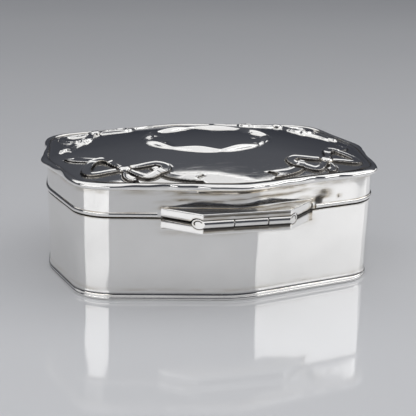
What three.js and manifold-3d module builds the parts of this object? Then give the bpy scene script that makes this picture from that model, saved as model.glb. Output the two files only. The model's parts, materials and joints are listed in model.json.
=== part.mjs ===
// Trinket box in polished silver: an eight-sided case with softly bowed sides, a domed lid with
// a wavy rim, embossed ribbon bows and an oval cartouche, and a stand-away hinge at the back.
// Millimetres, +Z up. The origin is the middle of the underside; the hinge is at +Y.
import * as THREE from "three";
import { mergeVertices } from "three/addons/utils/BufferGeometryUtils.js";
import Module from "manifold-3d";

const wasm = await Module();
wasm.setup();

// Overall sizes: the wall's plan measured over its mid-sides before rounding, and the top of the dome
const PLAN_LENGTH = 101.6;
const PLAN_DEPTH = 81.4;
const TOTAL_HEIGHT = 40.6;

// Plan of the wall's outer face: eight facets that meet at rounded corners and rounded mid-sides
const LONG_SIDE_BOW = 10.3;
const END_BOW = 5.4;
const CORNER_RADIUS = 12.5;
const MID_RADIUS = 25;

// Case: base sheet with a projecting ledge, wall band, cove moulding and inner bezel
const WALL_THICKNESS = 0.9;
const WALL_TAPER = 0.6;
const BASE_THICKNESS = 1;
const BASE_LEDGE = 0.5;
const FOOT_COVE_HEIGHT = 1.8;
const FOOT_LIP_HEIGHT = 0.3;
const FOOT_LIP_SETBACK = 0.1;
const BEZEL_THICKNESS = 0.6;
const BEZEL_DEPTH = 4;
const BEZEL_RISE = 1.8;
const BEZEL_CLEARANCE = 0.25;

// Lid: wall band, half-round wire along its lower edge and domed top sheet
const SEAM_GAP = 0.3;
const LID_WALL_HEIGHT = 8.8;
const EDGE_WIRE_HEIGHT = 1.4;
const EDGE_WIRE_STAND = 0.45;
const EDGE_WIRE_END_GAP = 0.3;
const TOP_THICKNESS = 0.9;
const TOP_SEAT = 1.3;
const DOME_RISE = 5.4;

// Wavy rim soldered round the edge of the top sheet
const RIM_GAP = 0.15;
const RIM_OVERHANG = 1.45;
const RIM_DROP = 0.75;
const RIM_CREST = 0.45;
const RIM_CREST_WIDTH = 0.4;
const RIM_INNER_DROP = 0.35;
const RIM_RIPPLE = 0.15;
const RIM_SWELL = 0.6;
const LONG_FACET_LOBES = 5;
const END_FACET_LOBES = 3;

// Embossed ribbons on the dome
const RIBBON_RISE = 0.9;
const RIBBON_ROOT = 0.4;
const RIBBON_CROWN_SHARE = 0.55;
const LOOP_WIDTH = 1.9;
const TAIL_WIDTH = 2;
const TAIL_END_WIDTH = 3.6;
const CARTOUCHE_WIDTH = 2.2;
const CARTOUCHE_RISE = 1.1;
const CARTOUCHE_HALF_X = 19.5;
const CARTOUCHE_HALF_Y = 15.4;
const CARTOUCHE_POWER = 1.8;
const CARTOUCHE_WAVE = 0.5;
const CARTOUCHE_LOBES = 8;
const KNOT_INSET_X = 13.9;
const KNOT_INSET_Y = 6.8;
const KNOT_RADIUS = 2;
const KNOT_RISE = 1.3;

// Stand-away hinge: two leaves, three knuckles and a pin
const LEAF_HALF_BACK = 23.2;
const LEAF_HALF_FRONT = 13.2;
const LEAF_HEIGHT = 2.9;
const LEAF_FRONT = 1;
const AXIS_STAND = 3.6;
const KNUCKLE_RADIUS = 1.4;
const KNUCKLE_CLEARANCE = 0.2;
const KNUCKLE_END_GAP = 0.2;
const BARREL_HALF = 16.5;
const LID_KNUCKLE_FROM = -6.2;
const LID_KNUCKLE_TO = 3.8;
const PIN_RADIUS = 0.75;
const PIN_CLEARANCE = 0.08;

// Mesh fineness
const ARC_STEPS = 3;
const ROUND_STEPS = 24;
const PROFILE_STEPS = 4;
const COVE_STEPS = 3;
const RIM_STEPS_PER_LOBE = 5;
const CARTOUCHE_POINTS_PER_LOBE = 4;
const CARTOUCHE_STEPS_PER_LOBE = 6;
const KNOT_SIDES = 10;
const KNOT_RINGS = 6;
const DOME_RINGS = [1, 0.82, 0.58, 0.3];
const MERGE_TOLERANCE = 1e-4;

const SIDE_APEX = PLAN_DEPTH / 2;
const END_APEX = PLAN_LENGTH / 2;
const CORNER_X = END_APEX - END_BOW;
const CORNER_Y = SIDE_APEX - LONG_SIDE_BOW;
const TOP_EDGE = TOTAL_HEIGHT - DOME_RISE;
const LID_WALL_TOP = TOP_EDGE - TOP_THICKNESS;
const LID_BOTTOM = LID_WALL_TOP - LID_WALL_HEIGHT;
const BODY_TOP = LID_BOTTOM - SEAM_GAP;

const silver = { color: 0xd9dadb, metalness: 1, roughness: 0.15 };
const gilt = { color: 0xd8b765, metalness: 1, roughness: 0.25 };
const part = new THREE.Group();
part.name = "trinket_box";

function place(name, geometry, finish = silver) {
  const mesh = new THREE.Mesh(geometry, new THREE.MeshStandardMaterial({ name, ...finish }));
  mesh.name = name;
  part.add(mesh);
}

// Corner points of the plan, counter-clockwise from the middle of the hinge side
const planCorners = [
  [0, SIDE_APEX, MID_RADIUS],
  [-CORNER_X, CORNER_Y, CORNER_RADIUS],
  [-END_APEX, 0, MID_RADIUS],
  [-CORNER_X, -CORNER_Y, CORNER_RADIUS],
  [0, -SIDE_APEX, MID_RADIUS],
  [CORNER_X, -CORNER_Y, CORNER_RADIUS],
  [END_APEX, 0, MID_RADIUS],
  [CORNER_X, CORNER_Y, CORNER_RADIUS],
];

// The arc that rounds each corner: centre, radius, first normal angle and turn
const roundings = planCorners.map(([x, y, radius], i) => {
  const count = planCorners.length;
  const corner = new THREE.Vector2(x, y);
  const before = new THREE.Vector2(...planCorners[(i + count - 1) % count]);
  const after = new THREE.Vector2(...planCorners[(i + 1) % count]);
  const arriving = corner.clone().sub(before).normalize();
  const leaving = after.clone().sub(corner).normalize();
  const turn = Math.acos(arriving.dot(leaving));
  const inward = leaving.clone().sub(arriving).normalize();
  const centre = corner.clone().addScaledVector(inward, radius / Math.cos(turn / 2));
  const from = Math.atan2(-arriving.x, arriving.y);
  return { centre, radius, from, turn };
});

// The plan's outline moved outward by an offset
function planShape(offset) {
  const shape = new THREE.Shape();
  for (const { centre, radius, from, turn } of roundings) {
    shape.absarc(centre.x, centre.y, radius + offset, from, from + turn, false);
  }
  shape.closePath();
  return shape;
}

function planPoints(offset) {
  const points = planShape(offset).getPoints(ARC_STEPS);
  const closes = points[0].distanceTo(points[points.length - 1]) < MERGE_TOLERANCE;
  return closes ? points.slice(0, -1) : points;
}

// Points of the wall's outer face with their outward normals
const outlineStations = planPoints(0).map((point, i) => {
  const normal = planPoints(1)[i].clone().sub(point);
  return { point, normal };
});

// A station on the hinge side's straight facet, at a given x
function hingeSideStation(x) {
  const point = new THREE.Vector2(x, SIDE_APEX - (LONG_SIDE_BOW * Math.abs(x)) / CORNER_X);
  const normal = new THREE.Vector2(Math.sign(x) * LONG_SIDE_BOW, CORNER_X).normalize();
  return { point, normal };
}

function extruded(shape, from, to) {
  const geometry = new THREE.ExtrudeGeometry(shape, {
    depth: to - from,
    bevelEnabled: false,
    curveSegments: ARC_STEPS,
  });
  return geometry.translate(0, 0, from);
}

function band(outer, inner, from, to) {
  const shape = planShape(outer);
  shape.holes.push(planShape(inner));
  return extruded(shape, from, to);
}

// Closed solid from loops of points, counter-clockwise looking along the way they follow each other;
// the last loop joins the first, or both are capped
function lofted(loops, closed) {
  const size = loops[0].length;
  const positions = loops.flat().flatMap((p) => [p.x, p.y, p.z]);
  const faces = [];
  const spans = closed ? loops.length : loops.length - 1;
  for (let i = 0; i < spans; i += 1) {
    const here = i * size;
    const there = ((i + 1) % loops.length) * size;
    for (let j = 0; j < size; j += 1) {
      const next = (j + 1) % size;
      faces.push(here + j, there + j, there + next);
      faces.push(here + j, there + next, here + next);
    }
  }
  if (!closed) {
    const last = (loops.length - 1) * size;
    for (let j = 1; j < size - 1; j += 1) {
      faces.push(0, j, j + 1);
      faces.push(last, last + j + 1, last + j);
    }
  }
  const geometry = new THREE.BufferGeometry();
  geometry.setAttribute("position", new THREE.Float32BufferAttribute(positions, 3));
  geometry.setIndex(faces);
  return geometry;
}

// A section of [offset, height] points, counter-clockwise, set up at a station of the outline
function sectionLoop(point, normal, section) {
  return section.map(([offset, height]) => {
    const at = point.clone().addScaledVector(normal, offset);
    return new THREE.Vector3(at.x, at.y, height);
  });
}

// A moulding carries one section along the stations
function moulding(stations, section, closed) {
  return lofted(stations.map(({ point, normal }) => sectionLoop(point, normal, section)), closed);
}

function solidOf(geometry) {
  const bare = geometry.clone();
  bare.deleteAttribute("normal");
  bare.deleteAttribute("uv");
  const merged = mergeVertices(bare, MERGE_TOLERANCE);
  return new wasm.Manifold(new wasm.Mesh({
    numProp: 3,
    vertProperties: new Float32Array(merged.attributes.position.array),
    triVerts: new Uint32Array(merged.index.array),
  }));
}

function geometryOf(solid) {
  const mesh = solid.getMesh();
  const geometry = new THREE.BufferGeometry();
  geometry.setAttribute("position", new THREE.BufferAttribute(mesh.vertProperties, 3));
  geometry.setIndex(new THREE.BufferAttribute(mesh.triVerts, 1));
  return geometry;
}

// How far the tapered wall's outer face lies inside the plan at a height
function wallLean(height) {
  return (WALL_TAPER * (BODY_TOP - height)) / (BODY_TOP - BASE_THICKNESS);
}

// Case
place("base_plate", extruded(planShape(BASE_LEDGE - WALL_TAPER), 0, BASE_THICKNESS));
place("body_wall", moulding(outlineStations, [
  [-WALL_TAPER, BASE_THICKNESS],
  [0, BODY_TOP],
  [-WALL_THICKNESS, BODY_TOP],
  [-WALL_THICKNESS - WALL_TAPER, BASE_THICKNESS],
], true));

// Foot moulding: a hollow quarter round between the ledge and the wall
const footLip = BASE_LEDGE - FOOT_LIP_SETBACK;
const lipTop = BASE_THICKNESS + FOOT_LIP_HEIGHT;
const coveCurve = Array.from({ length: COVE_STEPS + 1 }, (_, i) => {
  const angle = (i / COVE_STEPS) * (Math.PI / 2);
  const height = lipTop + (FOOT_COVE_HEIGHT - FOOT_LIP_HEIGHT) * (1 - Math.cos(angle));
  return [footLip * (1 - Math.sin(angle)) - wallLean(height), height];
});
place("foot_moulding", moulding(outlineStations, [
  [-WALL_TAPER, BASE_THICKNESS],
  [footLip - WALL_TAPER, BASE_THICKNESS],
  ...coveCurve,
], true));

const bezelOuter = -WALL_THICKNESS - BEZEL_CLEARANCE;
const bezelInner = bezelOuter - BEZEL_THICKNESS;
const bezelFoot = BODY_TOP - BEZEL_DEPTH;
place("body_bezel", moulding(outlineStations, [
  [-WALL_THICKNESS - wallLean(bezelFoot), bezelFoot],
  [-WALL_THICKNESS, BODY_TOP],
  [bezelOuter, BODY_TOP],
  [bezelOuter, BODY_TOP + BEZEL_RISE],
  [bezelInner, BODY_TOP + BEZEL_RISE],
  [bezelInner, bezelFoot],
], true), gilt);

// Lid wall and the half-round wire along its lower edge, which stops at the hinge
place("lid_wall", band(0, -WALL_THICKNESS, LID_BOTTOM, LID_WALL_TOP));

const wireLimit = LEAF_HALF_BACK + EDGE_WIRE_END_GAP;
const wireStations = [
  hingeSideStation(-wireLimit),
  ...outlineStations.filter(({ point }) => point.y < 0 || Math.abs(point.x) > wireLimit),
  hingeSideStation(wireLimit),
];
const wireSection = Array.from({ length: PROFILE_STEPS + 1 }, (_, i) => {
  const angle = (i / PROFILE_STEPS) * Math.PI;
  return [EDGE_WIRE_STAND * Math.sin(angle), LID_BOTTOM + (EDGE_WIRE_HEIGHT / 2) * (1 - Math.cos(angle))];
});
place("lid_edge_wire", moulding(wireStations, wireSection, false));

// Dome: contours follow the outline at the seat and become oval towards the middle
const seatPoints = planPoints(-TOP_SEAT);
const seatHalfX = Math.max(...seatPoints.map((p) => p.x));
const seatHalfY = Math.max(...seatPoints.map((p) => p.y));
const seatEdges = seatPoints.map((a, i) => {
  const b = seatPoints[(i + 1) % seatPoints.length];
  const normal = new THREE.Vector2(b.y - a.y, a.x - b.x).normalize();
  return { normal, reach: normal.dot(a) };
});

function domeHeight(x, y) {
  const share = Math.max(...seatEdges.map(({ normal, reach }) => (normal.x * x + normal.y * y) / reach));
  const oval = (x / seatHalfX) ** 2 + (y / seatHalfY) ** 2;
  const squared = Math.min(share, 1) ** 2;
  return TOP_EDGE + DOME_RISE * (1 - squared ** 2 - oval * (1 - squared));
}

function domedSheet() {
  const edge = planPoints(0);
  const rings = DOME_RINGS.map((share) => seatPoints.map((p) => p.clone().multiplyScalar(share)));
  const size = edge.length;
  const upper = [edge.map((p) => new THREE.Vector3(p.x, p.y, TOP_EDGE))];
  for (const ring of rings) {
    upper.push(ring.map((p) => new THREE.Vector3(p.x, p.y, domeHeight(p.x, p.y))));
  }
  const lower = upper.map((ring) => ring.map((p) => new THREE.Vector3(p.x, p.y, p.z - TOP_THICKNESS)));
  const loops = [...lower.reverse(), ...upper];
  const positions = loops.flat().flatMap((p) => [p.x, p.y, p.z]);
  const peak = domeHeight(0, 0);
  positions.push(0, 0, peak - TOP_THICKNESS, 0, 0, peak);
  const faces = [];
  for (let i = 0; i < loops.length - 1; i += 1) {
    for (let j = 0; j < size; j += 1) {
      const next = (j + 1) % size;
      const here = i * size;
      const there = here + size;
      faces.push(here + j, here + next, there + next);
      faces.push(here + j, there + next, there + j);
    }
  }
  const lowerPeak = loops.length * size;
  const lastRing = (loops.length - 1) * size;
  for (let j = 0; j < size; j += 1) {
    const next = (j + 1) % size;
    faces.push(lowerPeak, next, j);
    faces.push(lowerPeak + 1, lastRing + j, lastRing + next);
  }
  const geometry = new THREE.BufferGeometry();
  geometry.setAttribute("position", new THREE.Float32BufferAttribute(positions, 3));
  geometry.setIndex(faces);
  return geometry;
}

// A raised ribbon on the dome, along a smooth line through plan points, as wide as stated at each end
function ribbon(points, startWidth, endWidth, rise, steps, closed) {
  const line = new THREE.CatmullRomCurve3(points.map(([x, y]) => new THREE.Vector3(x, y, 0)), closed);
  const count = closed ? steps : steps + 1;
  const loops = Array.from({ length: count }, (_, i) => {
    const middle = line.getPointAt(i / steps);
    const ahead = line.getTangentAt(i / steps);
    const half = THREE.MathUtils.lerp(startWidth, endWidth, i / steps) / 2;
    const crown = half * RIBBON_CROWN_SHARE;
    const corner = (side, lift) => {
      const x = middle.x - ahead.y * side;
      const y = middle.y + ahead.x * side;
      return new THREE.Vector3(x, y, domeHeight(x, y) + lift);
    };
    return [
      corner(half, -RIBBON_ROOT),
      corner(-half, -RIBBON_ROOT),
      corner(-crown, rise),
      corner(crown, rise),
    ];
  });
  return lofted(loops, closed);
}

// One bow in the quarter where x and y are positive, as plan points measured from its knot
const bowRibbons = [
  { width: LOOP_WIDTH, endWidth: LOOP_WIDTH, steps: 20, closed: true,
    line: [[-0.8, 0.2], [-4.3, -0.4], [-7.4, -0.9], [-10, -0.9], [-12, 1.2],
      [-11.2, 3.8], [-8.8, 5], [-6.2, 6.6], [-4.2, 5.9], [-2.2, 3.4]] },
  { width: LOOP_WIDTH, endWidth: LOOP_WIDTH, steps: 20, closed: true,
    line: [[0.6, -0.4], [1.7, -3.2], [2.7, -6.6], [4, -9.4], [6, -10.4], [8, -9.2],
      [9.8, -6], [10.8, -2.6], [10.2, -0.1], [8, 0.7], [5.3, 0.5], [2.6, 0.4]] },
  { width: TAIL_WIDTH, endWidth: TAIL_END_WIDTH, steps: 9, closed: false,
    line: [[-8.4, 1.2], [-9.6, 4], [-11.6, 6.6], [-14, 8.3], [-16.6, 9.3], [-19, 10], [-21.4, 10.6]] },
  { width: TAIL_WIDTH, endWidth: TAIL_END_WIDTH, steps: 9, closed: false,
    line: [[3, -7], [4.8, -9.8], [7.2, -11.8], [9, -13.5], [10.6, -15.2], [12, -17.3], [13, -19.6]] },
  { width: TAIL_WIDTH, endWidth: TAIL_WIDTH, steps: 6, closed: false,
    line: [[0, 1.2], [0.3, 3.6], [0.2, 5.4], [-0.8, 6.9], [-3, 7.6]] },
];

function knotGeometry(x, y) {
  const knot = new THREE.SphereGeometry(1, KNOT_SIDES, KNOT_RINGS);
  knot.scale(KNOT_RADIUS, KNOT_RADIUS, KNOT_RISE);
  return knot.translate(x, y, domeHeight(x, y));
}

const cartouchePoints = CARTOUCHE_LOBES * CARTOUCHE_POINTS_PER_LOBE;
const cartoucheSteps = CARTOUCHE_LOBES * CARTOUCHE_STEPS_PER_LOBE;
const pointed = (value) => Math.sign(value) * Math.abs(value) ** (2 / CARTOUCHE_POWER);
const cartoucheLine = Array.from({ length: cartouchePoints }, (_, i) => {
  const angle = (i / cartouchePoints) * Math.PI * 2;
  const wave = CARTOUCHE_WAVE * Math.cos(CARTOUCHE_LOBES * angle);
  return [
    (CARTOUCHE_HALF_X + wave) * pointed(Math.cos(angle)),
    (CARTOUCHE_HALF_Y + wave) * pointed(Math.sin(angle)),
  ];
});

let top = solidOf(domedSheet());
const oval = ribbon(cartoucheLine, CARTOUCHE_WIDTH, CARTOUCHE_WIDTH, CARTOUCHE_RISE, cartoucheSteps, true);
top = top.add(solidOf(oval));
const knotX = CORNER_X - KNOT_INSET_X;
const knotY = CORNER_Y - KNOT_INSET_Y;
for (const sideX of [-1, 1]) {
  for (const sideY of [-1, 1]) {
    for (const { line, width, endWidth, steps, closed } of bowRibbons) {
      const points = line.map(([x, y]) => [sideX * (knotX + x), sideY * (knotY + y)]);
      top = top.add(solidOf(ribbon(points, width, endWidth, RIBBON_RISE, steps, closed)));
    }
    top = top.add(solidOf(knotGeometry(sideX * knotX, sideY * knotY)));
  }
}
place("lid_top", geometryOf(top));

// Stations from the middle of one rounding to the middle of the next, with the share of the way
function facetStations(i, steps) {
  const first = roundings[i];
  const second = roundings[(i + 1) % roundings.length];
  const firstArc = (first.radius * first.turn) / 2;
  const secondArc = (second.radius * second.turn) / 2;
  const leave = first.from + first.turn;
  const onArc = (arc, angle) => {
    const normal = new THREE.Vector2(Math.cos(angle), Math.sin(angle));
    return { point: arc.centre.clone().addScaledVector(normal, arc.radius), normal };
  };
  const start = onArc(first, leave);
  const end = onArc(second, second.from);
  const straight = start.point.distanceTo(end.point);
  const whole = firstArc + straight + secondArc;
  return Array.from({ length: steps }, (_, j) => {
    const share = j / steps;
    const along = whole * share;
    if (along < firstArc) {
      return { ...onArc(first, leave - (firstArc - along) / first.radius), share };
    }
    if (along < firstArc + straight) {
      const point = start.point.clone().lerp(end.point, (along - firstArc) / straight);
      return { point, normal: start.normal.clone(), share };
    }
    return { ...onArc(second, second.from + (along - firstArc - straight) / second.radius), share };
  });
}

// Rim: a rolled moulding whose outer side ripples, and swells towards corners and mid-sides
const rimLow = LID_WALL_TOP - RIM_DROP;
const rimHigh = TOP_EDGE + RIM_CREST;

function rimSection(wave) {
  const reach = RIM_OVERHANG - RIM_CREST_WIDTH + wave;
  const roll = Array.from({ length: PROFILE_STEPS + 1 }, (_, i) => {
    const angle = (i / PROFILE_STEPS - 0.5) * Math.PI;
    const height = (rimLow + rimHigh) / 2 + ((rimHigh - rimLow) / 2) * Math.sin(angle);
    return [RIM_CREST_WIDTH + reach * Math.cos(angle), height];
  });
  return [[RIM_GAP, rimLow], ...roll, [RIM_GAP, rimHigh - RIM_INNER_DROP]];
}

const rimLoops = roundings.flatMap((_, i) => {
  const ends = [planCorners[i], planCorners[(i + 1) % planCorners.length]];
  const onLongSide = ends.some(([x]) => x === 0);
  const lobes = onLongSide ? LONG_FACET_LOBES : END_FACET_LOBES;
  return facetStations(i, lobes * RIM_STEPS_PER_LOBE).map(({ point, normal, share }) => {
    const ripple = RIM_RIPPLE * Math.cos(2 * Math.PI * lobes * share);
    const swell = RIM_SWELL * Math.cos(2 * Math.PI * share);
    return sectionLoop(point, normal, rimSection(ripple + swell));
  });
});
place("lid_rim", lofted(rimLoops, true));

// Hinge: both leaves take the wall's own outline at the back and have a trough for the knuckles
const wallApex = SIDE_APEX - MID_RADIUS / Math.cos(roundings[0].turn / 2) + MID_RADIUS;
const axisY = wallApex + AXIS_STAND;
const axisZ = BODY_TOP + SEAM_GAP / 2;
const leafFrontY = axisY + LEAF_FRONT;

function barrel(profile, x) {
  const lathe = new THREE.LatheGeometry(profile.map(([r, h]) => new THREE.Vector2(r, h)), ROUND_STEPS);
  lathe.rotateZ(-Math.PI / 2);
  return lathe.translate(x, axisY, axisZ);
}

const leftSpan = [LID_KNUCKLE_TO + KNUCKLE_END_GAP, BARREL_HALF];
const lidSpan = [LID_KNUCKLE_FROM, LID_KNUCKLE_TO];
const rightSpan = [-BARREL_HALF, LID_KNUCKLE_FROM - KNUCKLE_END_GAP];

// A leaf's trough fits the knuckles soldered into it and has play round those of the other leaf
function trough(ownSpans) {
  const play = KNUCKLE_RADIUS + KNUCKLE_CLEARANCE;
  const steps = ownSpans.flatMap(([from, to]) => [
    [play, from],
    [KNUCKLE_RADIUS, from],
    [KNUCKLE_RADIUS, to],
    [play, to],
  ]);
  return solidOf(barrel([
    [0, -LEAF_HALF_BACK],
    [play, -LEAF_HALF_BACK],
    ...steps,
    [play, LEAF_HALF_BACK],
    [0, LEAF_HALF_BACK],
  ], 0));
}

function leaf(from, to, ownSpans) {
  const back = outlineStations
    .filter(({ point }) => point.y > 0 && Math.abs(point.x) < LEAF_HALF_BACK)
    .map(({ point }) => point)
    .sort((a, b) => a.x - b.x);
  const shape = new THREE.Shape([
    new THREE.Vector2(-LEAF_HALF_FRONT, leafFrontY),
    hingeSideStation(-LEAF_HALF_BACK).point,
    ...back,
    hingeSideStation(LEAF_HALF_BACK).point,
    new THREE.Vector2(LEAF_HALF_FRONT, leafFrontY),
  ]);
  return geometryOf(solidOf(extruded(shape, from, to)).subtract(trough(ownSpans)));
}

// The slanted ends of the leaves, carried on past the barrel: knuckles and pin are filed flush with them
const leafBackY = hingeSideStation(LEAF_HALF_BACK).point.y;
const endSlant = (LEAF_HALF_BACK - LEAF_HALF_FRONT) / (leafFrontY - leafBackY);
const filedNearX = LEAF_HALF_FRONT + endSlant * (LEAF_FRONT + 2 * KNUCKLE_RADIUS);
const filedFarX = LEAF_HALF_FRONT + endSlant * (LEAF_FRONT - 2 * KNUCKLE_RADIUS);
const filedShape = new THREE.Shape([
  new THREE.Vector2(-filedNearX, axisY - 2 * KNUCKLE_RADIUS),
  new THREE.Vector2(filedNearX, axisY - 2 * KNUCKLE_RADIUS),
  new THREE.Vector2(filedFarX, axisY + 2 * KNUCKLE_RADIUS),
  new THREE.Vector2(-filedFarX, axisY + 2 * KNUCKLE_RADIUS),
]);
const filedBlock = solidOf(extruded(filedShape, axisZ - 2 * KNUCKLE_RADIUS, axisZ + 2 * KNUCKLE_RADIUS));

function filed(geometry) {
  return geometryOf(solidOf(geometry).intersect(filedBlock));
}

function knuckle([from, to], bore) {
  const half = (to - from) / 2;
  return filed(barrel([
    [bore, -half],
    [KNUCKLE_RADIUS, -half],
    [KNUCKLE_RADIUS, half],
    [bore, half],
    [bore, -half],
  ], (from + to) / 2));
}

// The pin is tight in the body's two knuckles and turns in the lid's
place("hinge_leaf_body", leaf(BODY_TOP - LEAF_HEIGHT, BODY_TOP, [rightSpan, leftSpan]));
place("hinge_leaf_lid", leaf(LID_BOTTOM, LID_BOTTOM + LEAF_HEIGHT, [lidSpan]));
place("hinge_knuckle_body_right", knuckle(rightSpan, PIN_RADIUS));
place("hinge_knuckle_lid", knuckle(lidSpan, PIN_RADIUS + PIN_CLEARANCE));
place("hinge_knuckle_body_left", knuckle(leftSpan, PIN_RADIUS));

place("hinge_pin", filed(barrel([
  [0, -BARREL_HALF],
  [PIN_RADIUS, -BARREL_HALF],
  [PIN_RADIUS, BARREL_HALF],
  [0, BARREL_HALF],
], 0)));

export default part;
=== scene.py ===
"""Dresses the trinket box: fine silver surfaces, embossed lid, hinge, studio and camera."""
import json
import math

import bpy
import numpy as np
from mathutils import Matrix, Vector
from mathutils.kdtree import KDTree


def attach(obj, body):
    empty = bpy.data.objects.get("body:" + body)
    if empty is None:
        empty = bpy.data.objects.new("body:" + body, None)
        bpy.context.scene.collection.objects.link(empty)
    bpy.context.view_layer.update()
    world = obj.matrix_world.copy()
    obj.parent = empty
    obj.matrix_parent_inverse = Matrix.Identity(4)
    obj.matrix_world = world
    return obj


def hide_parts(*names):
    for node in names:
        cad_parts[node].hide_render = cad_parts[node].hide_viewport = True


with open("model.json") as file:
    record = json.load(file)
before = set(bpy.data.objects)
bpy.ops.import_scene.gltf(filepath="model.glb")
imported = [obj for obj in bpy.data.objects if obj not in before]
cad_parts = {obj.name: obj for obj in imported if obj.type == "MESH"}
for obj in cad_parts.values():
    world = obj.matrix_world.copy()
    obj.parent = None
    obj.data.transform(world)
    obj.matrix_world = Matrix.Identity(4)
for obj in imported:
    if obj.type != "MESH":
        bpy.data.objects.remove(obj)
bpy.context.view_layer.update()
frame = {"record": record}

# Lengths below are millimetres, as in the part's source, and become metres when a mesh is made
MM = 0.001

# Mesh steps: spacing of stations round the plan and of points in a section, steps of rim and round pieces
WALL_SPACING = 1.0
TRIM_SPACING = 1.2
WIRE_SPACING = 0.8
TOP_SPACING = 0.22
WALL_SECTION_SPACING = 0.5
BEZEL_SECTION_SPACING = 0.8
RIM_STEPS_PER_LOBE = 14
ROUND_STEPS = 48
SHARP_ANGLE = math.radians(42)

# Plan of the wall's outer face
SIDE_APEX = 40.7
END_APEX = 50.8
LONG_SIDE_BOW = 10.3
END_BOW = 5.4
CORNER_RADIUS = 12.5
MID_RADIUS = 25

# Case
WALL_THICKNESS = 0.9
WALL_TAPER = 0.6
SEAM_ROUNDING = 0.22
BODY_TOP = 25.2
BASE_THICKNESS = 1
BASE_LEDGE = 0.5
BASE_INNER_RING = 3
FOOT_COVE_HEIGHT = 1.8
FOOT_LIP_HEIGHT = 0.3
FOOT_LIP_SETBACK = 0.1
FOOT_SINK = 0.3
BEZEL_THICKNESS = 0.6
BEZEL_DEPTH = 4
BEZEL_RISE = 1.8
BEZEL_CLEARANCE = 0.25
HAND_WAVE = 0.035

# Lid
LID_BOTTOM = 25.5
LID_WALL_TOP = 34.3
LID_INNER_ROUNDING = 0.2
TOP_EDGE = 35.2
EDGE_WIRE_HEIGHT = 1.4
EDGE_WIRE_STAND = 0.45
EDGE_WIRE_END_GAP = 0.3
TOP_THICKNESS = 0.9
TOP_SEAT = 1.3
DOME_RISE = 5.4

# Rim; the strip under it hangs between x values where it starts, is full, begins to end and ends
RIM_OVERHANG = 1.45
RIM_DROP = 0.75
RIM_CREST = 0.45
RIM_CREST_WIDTH = 0.4
RIM_RIPPLE = 0.15
RIM_SWELL = 0.6
RIM_STRIP = 0.75
RIM_STRIP_ENDS = (-11, -4, 13.1, 13.5)
LONG_FACET_LOBES = 5
END_FACET_LOBES = 3

# Ribbons: half widths where they are narrowest and what is added where they are widest, heights, and half the
# width over which a ribbon's edge rises, outside and inside the lid
KNOT = np.array([31.5, 23.6])
KNOT_HALF = np.array([1.9, 1.6])
KNOT_RISE = 1.15
TAIL_HALF = 1.1
TAIL_SPREAD = 0.7
TAIL_RIPPLE = 0.12
TAIL_RISE = 0.55
TAIL_FORK = 2.0
RUFFLE_HALF = 0.8
RUFFLE_SPREAD = 0.5
RUFFLE_FORK = 1.0
LOOP_HALF = 0.8
LOOP_SPREAD = 0.75
LOOP_RISE = 0.65
RIBBON_TILT = 0.12
OUTER_EDGE = 0.2
INNER_EDGE = 0.75
INNER_RISE_SHARE = 0.75
CARTOUCHE_HALF = np.array([19.5, 15.4])
CARTOUCHE_POWER = 1.8
CARTOUCHE_WAVE = 0.5
CARTOUCHE_LOBES = 8
TWIST_HALF = 0.5
TWIST_SPREAD = 1.15
TWIST_RISE = 0.4
TWIST_SWELL = 0.65

# Hinge
LEAF_HALF_BACK = 23.2
LEAF_HALF_FRONT = 13.2
LEAF_HEIGHT = 2.9
LEAF_FRONT = 1
AXIS_STAND = 3.6
KNUCKLE_RADIUS = 1.4
KNUCKLE_CLEARANCE = 0.2
KNUCKLE_END_GAP = 0.2
BARREL_HALF = 16.5
LID_KNUCKLE_FROM = -6.2
LID_KNUCKLE_TO = 3.8
PIN_RADIUS = 0.75
PIN_CLEARANCE = 0.08
LEAF_ROUNDING = 0.28
LEAF_SINK = 0.35
SEAM_CHAMFER = 0.3

# Marks on the lid's wall, as distance past the hinge leaf's -x end and height; the dent is painted shade only
SMUDGE = (1.9, LID_BOTTOM + 2.3)
SMUDGE_ABOVE = (3.4, LID_BOTTOM + 4.3)
DENT_SHADE = (9, LID_BOTTOM + 2.9)

CORNER_X = END_APEX - END_BOW
CORNER_Y = SIDE_APEX - LONG_SIDE_BOW
PLAN_CORNERS = [
    (0, SIDE_APEX, MID_RADIUS),
    (-CORNER_X, CORNER_Y, CORNER_RADIUS),
    (-END_APEX, 0, MID_RADIUS),
    (-CORNER_X, -CORNER_Y, CORNER_RADIUS),
    (0, -SIDE_APEX, MID_RADIUS),
    (CORNER_X, -CORNER_Y, CORNER_RADIUS),
    (END_APEX, 0, MID_RADIUS),
    (CORNER_X, CORNER_Y, CORNER_RADIUS),
]


def smooth(low, high, value):
    """Rises from 0 at low to 1 at high with level ends; low may be the larger."""
    share = np.clip((value - low) / (high - low), 0, 1)
    return share * share * (3 - 2 * share)


def unit(vector):
    """The vector with a length of 1."""
    return vector / np.linalg.norm(vector)


def plan_roundings():
    """The arc at each corner of the plan: centre, radius, first normal angle and turn."""
    arcs = []
    count = len(PLAN_CORNERS)
    for k, (x, y, radius) in enumerate(PLAN_CORNERS):
        corner = np.array([x, y], float)
        arriving = unit(corner - np.array(PLAN_CORNERS[k - 1][:2]))
        leaving = unit(np.array(PLAN_CORNERS[(k + 1) % count][:2]) - corner)
        turn = math.acos(float(arriving @ leaving))
        centre = corner + unit(leaving - arriving) * radius / math.cos(turn / 2)
        first = math.atan2(-arriving[0], arriving[1])
        arcs.append((centre, radius, first, turn))
    return arcs


ROUNDINGS = plan_roundings()


def on_arc(arc, angle):
    """The point and the normal of a rounding at an angle."""
    centre, radius, _, _ = arc
    normal = np.array([math.cos(angle), math.sin(angle)])
    return centre + radius * normal, normal


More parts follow.
